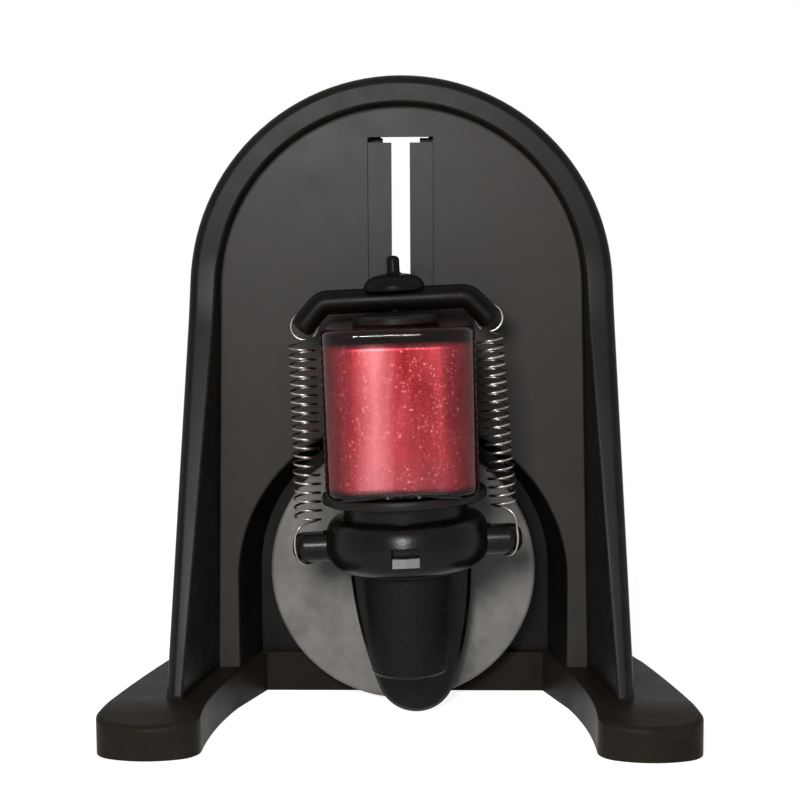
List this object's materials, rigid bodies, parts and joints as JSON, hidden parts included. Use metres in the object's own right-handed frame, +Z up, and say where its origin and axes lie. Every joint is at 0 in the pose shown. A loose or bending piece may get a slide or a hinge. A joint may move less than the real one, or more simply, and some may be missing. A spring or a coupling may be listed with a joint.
{
  "type": "nail polish shaker",
  "caption": "Bench-top shaker for one nail polish bottle: a motor crank drives a sprung bottle carrier up and down a slotted arched stand.",
  "frame": {"origin": "on the ground under the middle of the whole machine", "axes": "+Z up, +Y to the back, +X to the right of a person who faces the bottle"},
  "size_m": [0.1232, 0.0946, 0.1384],
  "materials": {
    "shell_black": "fine texture",
    "cover_black": "fine texture",
    "guide_black": "satin",
    "screw_black": "blackened steel",
    "steel": "bright",
    "rubber_black": "soft matte",
    "motor_steel": "zinc plated",
    "bronze": "sintered",
    "disc_grey": "matte",
    "shoe_black": "low friction",
    "carrier_black": "satin",
    "clear_glass": "polished",
    "polish_red": "metallic shimmer liquid",
    "cap_black": "grained",
    "brush_white": "plain",
    "clamp_black": "satin gloss",
    "spring_steel": "bright wire",
    "switch_black": "plain",
    "button_black": "gloss"
  },
  "bodies": {
    "stand": {"front_shell": "shell_black", "base_frame": "shell_black", "rear_cover": "cover_black", "left_guide_rail": "guide_black", "right_guide_rail": "guide_black", "cover_screws": "screw_black", "rail_screws": "steel", "base_screws": "screw_black", "motor_screws": "steel", "rubber_feet": "rubber_black", "motor": "motor_steel", "motor_pad": "rubber_black", "motor_bearing": "bronze", "power_switch": "switch_black", "dc_jack": "switch_black", "jack_nut": "steel"},
    "crank": {"crank_disc": "disc_grey", "crank_pin": "steel", "motor_shaft": "steel", "disc_screw": "steel"},
    "guide": {"guide_shoe": "shoe_black", "pivot_pin": "steel", "pivot_retainer": "steel"},
    "carrier": {"bottle_carrier": "carrier_black", "pivot_bush": "bronze", "crank_bush": "bronze", "seat_ring": "rubber_black", "bottle_glass": "clear_glass", "bottle_polish": "polish_red", "bottle_cap": "cap_black", "brush": "brush_white"},
    "clamp": {"clamp_bar": "clamp_black", "pressure_foot": "rubber_black", "clamp_knob": "clamp_black", "left_spring": "spring_steel", "right_spring": "spring_steel"},
    "button": {"power_button": "button_black"}
  },
  "joints": [
    {"name": "disc_spin", "type": "hinge", "parent": "stand", "child": "crank", "pos_m": [0, 0, 0.0304], "axis": [0, -1, 0], "continuous": true},
    {"name": "carrier_slide", "type": "slide", "parent": "stand", "child": "guide", "axis": [0, 0, 1], "range_m": [-0.00014, 0.04286]},
    {"name": "carrier_rock", "type": "hinge", "parent": "guide", "child": "carrier", "pos_m": [0, 0, 0.07704], "axis": [0, -1, 0], "range_deg": [-20.95, 15.91]},
    {"name": "clamp_lift", "type": "slide", "parent": "carrier", "child": "clamp", "axis": [-0.044, 0, 0.999], "range_m": [0, 0.012], "stiffness_N_per_m": 396, "springref_m": -0.0268, "deforming": ["left_spring", "right_spring"]},
    {"name": "button_press", "type": "slide", "parent": "stand", "child": "button", "axis": [0, -1, 0], "range_m": [0, 0.0015], "stiffness_N_per_m": 300, "springref_m": -0.003}
  ]
}
